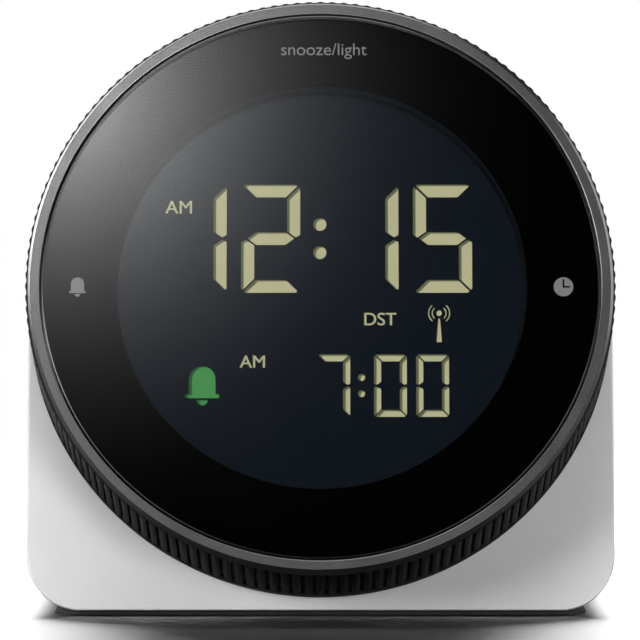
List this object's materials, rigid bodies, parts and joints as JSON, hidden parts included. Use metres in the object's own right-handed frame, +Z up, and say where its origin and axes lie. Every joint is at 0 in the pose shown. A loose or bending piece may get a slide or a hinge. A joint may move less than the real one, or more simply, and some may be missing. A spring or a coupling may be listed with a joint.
{
  "type": "digital alarm clock",
  "caption": "Free-standing digital alarm clock: arch-shaped body with a tilted front and a grooved ring that turns round a flat round display to set it.",
  "frame": {"origin": "on the table under the middle of the clock's box", "axes": "+Z up, front towards -Y, +X to the right as seen from the front"},
  "size_m": [0.0754, 0.0564, 0.0785],
  "materials": {
    "white_plastic": "fine matte",
    "ring_grey": "satin",
    "black_plastic": "matte",
    "clear_lens": "polished",
    "black_print": "gloss",
    "foil": "satin",
    "display_film": "gloss",
    "display_glass": "polished",
    "segment": "matte",
    "seal": "matte",
    "clear_acrylic": "gloss",
    "white_sheet": "matte",
    "lamp": "gloss",
    "soft_rubber": "matte",
    "zebra_rubber": "matte",
    "board": "satin",
    "steel": "bright",
    "chip": "matte",
    "acetal": "satin",
    "ferrite": "matte",
    "copper_wire": "satin",
    "brass": "satin",
    "ceramic": "matte",
    "cell_can": "gloss",
    "lead_red": "matte",
    "lead_black": "matte",
    "lead_amber": "matte",
    "lead_grey": "matte",
    "button_grey": "matte"
  },
  "bodies": {
    "clock": {"housing": "white_plastic", "rear_cover": "white_plastic", "foot_pad": "soft_rubber", "cover_screws": "steel", "ring_carrier": "black_plastic", "carrier_screws": "steel", "front_lens": "clear_lens", "lens_mask": "black_print", "touch_foil": "foil", "lcd_front_film": "display_film", "lcd_front_glass": "display_glass", "lcd_segments": "segment", "lcd_seal": "seal", "lcd_rear_glass": "display_glass", "lcd_rear_film": "display_film", "light_guide": "clear_acrylic", "reflector_sheet": "white_sheet", "back_lights": "lamp", "zebra_strip": "zebra_rubber", "main_board": "board", "board_screws": "steel", "control_chip": "chip", "quartz_crystal": "steel", "radio_receiver": "chip", "encoder_body": "chip", "aerial_rod": "ferrite", "aerial_coil": "copper_wire", "sounder_disc": "brass", "sounder_ceramic": "ceramic", "cells": "cell_can", "cell_springs": "steel", "cell_contacts": "steel", "key_board": "board", "key_switches": "chip", "key_screws": "steel", "battery_leads": "lead_red", "sounder_leads": "lead_black", "aerial_leads": "lead_amber", "key_ribbon": "lead_grey"},
    "ring": {"grip_ring": "ring_grey", "ring_gear": "acetal"},
    "encoder": {"encoder_shaft": "steel", "encoder_pinion": "acetal"},
    "door": {"battery_door": "white_plastic"},
    "key_receive": {"button_receive": "button_grey"},
    "key_zone": {"button_zone": "button_grey"},
    "key_reset": {"button_reset": "button_grey"}
  },
  "joints": [
    {"name": "ring_turn", "type": "hinge", "parent": "clock", "child": "ring", "pos_m": [0, -0.00359, 0.0385], "axis": [0, -0.9659, 0.2588], "continuous": true},
    {"name": "encoder_turn", "type": "hinge", "parent": "clock", "child": "encoder", "pos_m": [0, -0.0112, 0.0101], "axis": [0, -0.9659, 0.2588], "continuous": true},
    {"name": "door_lift", "type": "slide", "parent": "clock", "child": "door", "axis": [0, 1, 0], "range_m": [0, 0.02]},
    {"name": "receive_press", "type": "slide", "parent": "clock", "child": "key_receive", "axis": [0, -1, 0], "range_m": [0, 0.0006], "stiffness_N_per_m": 1000, "springref_m": -0.0006},
    {"name": "zone_press", "type": "slide", "parent": "clock", "child": "key_zone", "axis": [0, -1, 0], "range_m": [0, 0.0006], "stiffness_N_per_m": 1000, "springref_m": -0.0006},
    {"name": "reset_press", "type": "slide", "parent": "clock", "child": "key_reset", "axis": [0, -1, 0], "range_m": [0, 0.0006], "stiffness_N_per_m": 1000, "springref_m": -0.0006}
  ],
  "couplings": [
    {"joint": "encoder_turn", "follows": "ring_turn", "ratio": 8}
  ]
}
